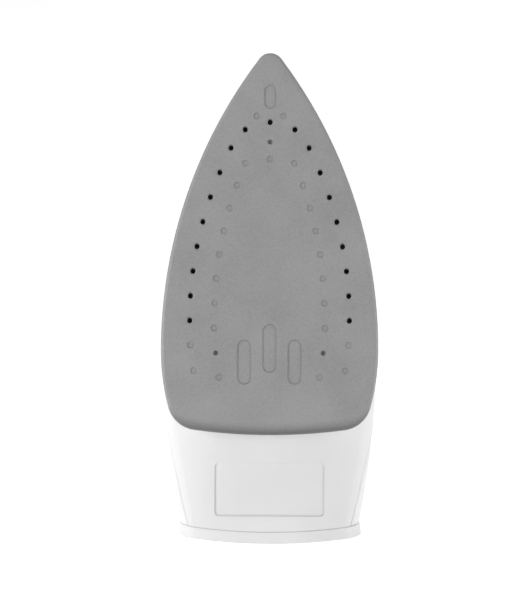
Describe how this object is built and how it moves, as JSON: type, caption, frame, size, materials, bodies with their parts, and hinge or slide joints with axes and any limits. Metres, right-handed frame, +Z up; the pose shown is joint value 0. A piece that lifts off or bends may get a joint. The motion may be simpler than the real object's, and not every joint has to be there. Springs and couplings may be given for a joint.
{
  "type": "clothes iron",
  "caption": "Steam iron standing on its heel, with a coated soleplate, a clear tank, a looped handle, a dial, a knob, buttons and a swivelling cord exit.",
  "frame": {"origin": "middle of the bounding box in X and Y, at the surface that the heel stands on", "axes": "+Z up as it stands on its heel, towards the sole's tip; -Y is the side that the soleplate faces; +X is the right-hand side seen from the soleplate"},
  "size_m": [0.12, 0.1752, 0.2644],
  "materials": {
    "sole_coating": "fine satin ceramic coating",
    "rivet_grey": "coated rivet heads",
    "cast_aluminium": "as-cast",
    "element_steel": "heat-tinted sheath",
    "sheet_steel": "zinc-plated sheet",
    "seal_rubber": "silicone",
    "ceramic_white": "glazed ceramic",
    "dial_shaft": "turned",
    "casing_white": "moulded, semi-gloss",
    "heel_white": "moulded, semi-gloss",
    "tank_clear": "grey-tinted clear moulding",
    "door_clear": "grey-tinted clear moulding",
    "tank_weld": "welded bead",
    "valve_plastic": "moulded acetal",
    "valve_steel": "ground",
    "spring_steel": "drawn wire",
    "control_grey": "moulded, satin",
    "dial_grey": "moulded, satin",
    "nozzle_brass": "turned",
    "grip_rubber": "soft-touch",
    "lens_amber": "moulded lens",
    "lamp_glass": "glass tube",
    "gland_rubber": "flexible PVC",
    "screw_steel": "zinc-plated",
    "lead_sleeve": "woven glass sleeve"
  },
  "bodies": {
    "iron": {"soleplate": "sole_coating", "sole_rivets": "rivet_grey", "heater_casting": "cast_aluminium", "heating_element": "element_steel", "element_pins": "element_steel", "steam_chamber_cover": "sheet_steel", "chamber_gasket": "seal_rubber", "thermostat_body": "ceramic_white", "thermal_fuse": "sheet_steel", "fuse_clip": "sheet_steel", "mounting_strap": "sheet_steel", "lower_shell": "casing_white", "tank_lower": "tank_clear", "tank_upper": "tank_clear", "tank_gasket": "tank_weld", "drip_valve_seat": "valve_plastic", "valve_spring": "spring_steel", "filler_hinge_pin": "sheet_steel", "spray_nozzle": "control_grey", "nozzle_tip": "nozzle_brass", "spray_spring": "spring_steel", "spray_pump_cylinder": "valve_plastic", "boost_spring": "spring_steel", "boost_pump_cylinder": "valve_plastic", "dial_ring": "control_grey", "handle_lower": "casing_white", "handle_upper": "casing_white", "grip_pad": "grip_rubber", "indicator_lens": "lens_amber", "neon_lamp": "lamp_glass", "gland_collar": "control_grey", "terminal_block": "ceramic_white", "terminal_screws": "screw_steel", "leads": "lead_sleeve", "heel_cover": "heel_white", "heel_cover_screws": "screw_steel", "handle_screws": "screw_steel", "casting_screws": "screw_steel"},
    "dial": {"temperature_dial": "dial_grey", "thermostat_shaft": "dial_shaft"},
    "knob": {"steam_knob": "control_grey"},
    "needle": {"valve_rod": "valve_steel"},
    "spray": {"spray_button": "control_grey", "spray_piston": "valve_plastic"},
    "boost": {"boost_button": "control_grey", "boost_piston": "valve_plastic"},
    "filler": {"filler_door": "door_clear", "filler_seal": "seal_rubber"},
    "gland": {"cord_gland": "gland_rubber"}
  },
  "joints": [
    {"name": "dial_turn", "type": "hinge", "parent": "iron", "child": "dial", "pos_m": [0, 0.00998, 0.09787], "axis": [0, 0.9563, -0.2924], "range_deg": [0, 270]},
    {"name": "knob_turn", "type": "hinge", "parent": "iron", "child": "knob", "pos_m": [0, 0.08146, 0.12987], "axis": [0, 0.9563, -0.2924], "range_deg": [0, 120]},
    {"name": "needle_lift", "type": "slide", "parent": "iron", "child": "needle", "axis": [0, 0.9563, -0.2924], "range_m": [0, 0.002], "deforming": ["valve_spring"]},
    {"name": "spray_press", "type": "slide", "parent": "iron", "child": "spray", "axis": [0, -0.9563, 0.2924], "range_m": [0, 0.0035], "stiffness_N_per_m": 400, "springref_m": -0.003, "deforming": ["spray_spring"]},
    {"name": "boost_press", "type": "slide", "parent": "iron", "child": "boost", "axis": [0, -0.9563, 0.2924], "range_m": [0, 0.0035], "stiffness_N_per_m": 400, "springref_m": -0.003, "deforming": ["boost_spring"]},
    {"name": "filler_hinge", "type": "hinge", "parent": "iron", "child": "filler", "pos_m": [0, 0.03203, 0.17479], "axis": [-1, 0, 0], "range_deg": [0, 100]},
    {"name": "gland_swivel", "type": "hinge", "parent": "iron", "child": "gland", "pos_m": [0, 0.0479, 0.02354], "axis": [0, 0.9563, -0.2924], "range_deg": [-150, 150]}
  ],
  "couplings": [
    {"joint": "knob_turn", "follows": "needle_lift", "rad_per_m": 1047.2}
  ]
}
